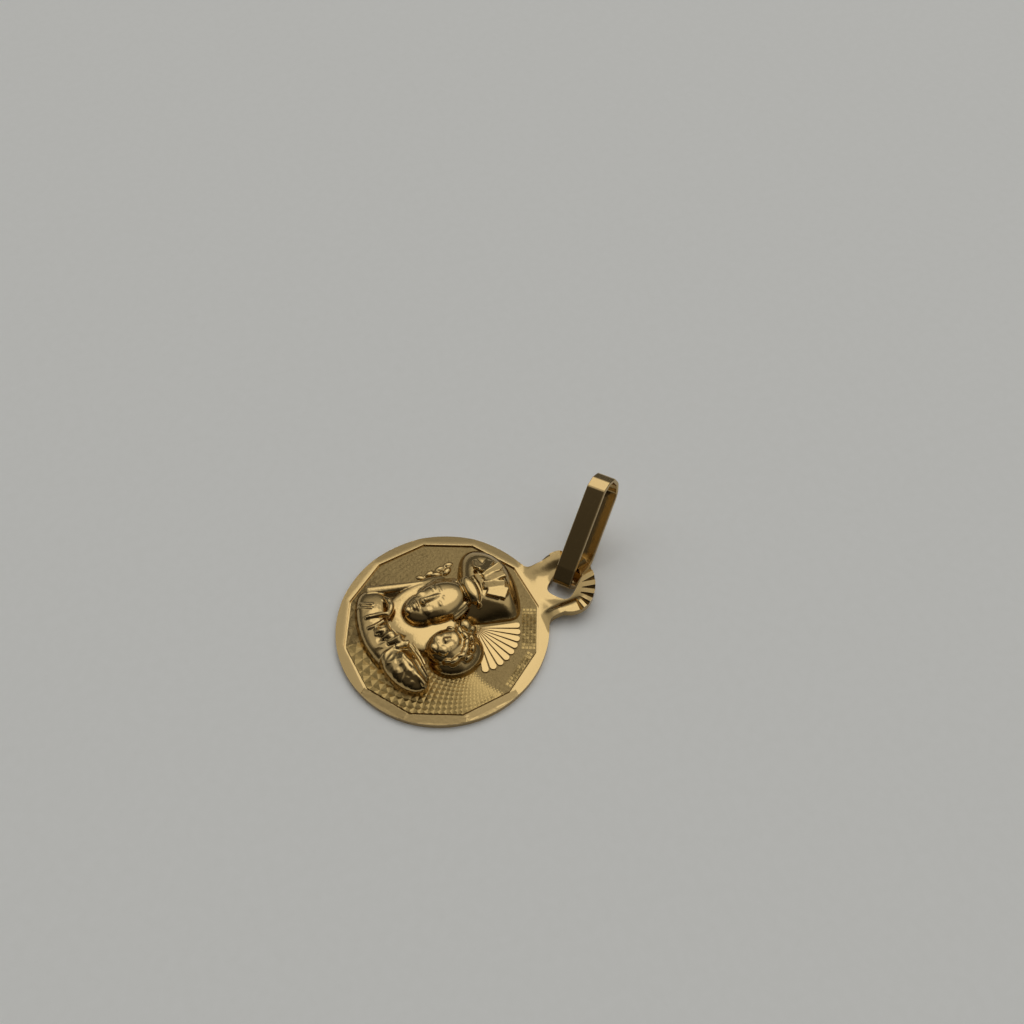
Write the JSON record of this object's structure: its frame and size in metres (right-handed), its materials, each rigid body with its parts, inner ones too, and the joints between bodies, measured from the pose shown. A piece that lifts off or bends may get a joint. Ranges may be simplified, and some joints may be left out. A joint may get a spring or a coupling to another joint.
{
  "type": "gold medal pendant with bail",
  "caption": "Small round struck medal with a raised figure group, a cut border, a fluted ear and a folded strip bail that swings on it.",
  "frame": {"origin": "centre of the round plate's flat back face, on the surface it lies on", "axes": "+Z out of the figure side, +Y from the plate's centre to the ear, +X to the right seen from the figure side"},
  "size_m": [0.012, 0.018, 0.0045],
  "materials": {
    "struck_gold": "polished yellow gold, struck and diamond-cut",
    "bail_gold": "polished yellow gold strip"
  },
  "bodies": {
    "medal": {"medal": "struck_gold"},
    "bail": {"bail": "bail_gold"}
  },
  "joints": [
    {"name": "bail_swing", "type": "hinge", "parent": "medal", "child": "bail", "pos_m": [-0.00088, 0.00834, 0.00089], "axis": [0.7771, 0.6098, 0.1557], "range_deg": [-165, 95]}
  ]
}
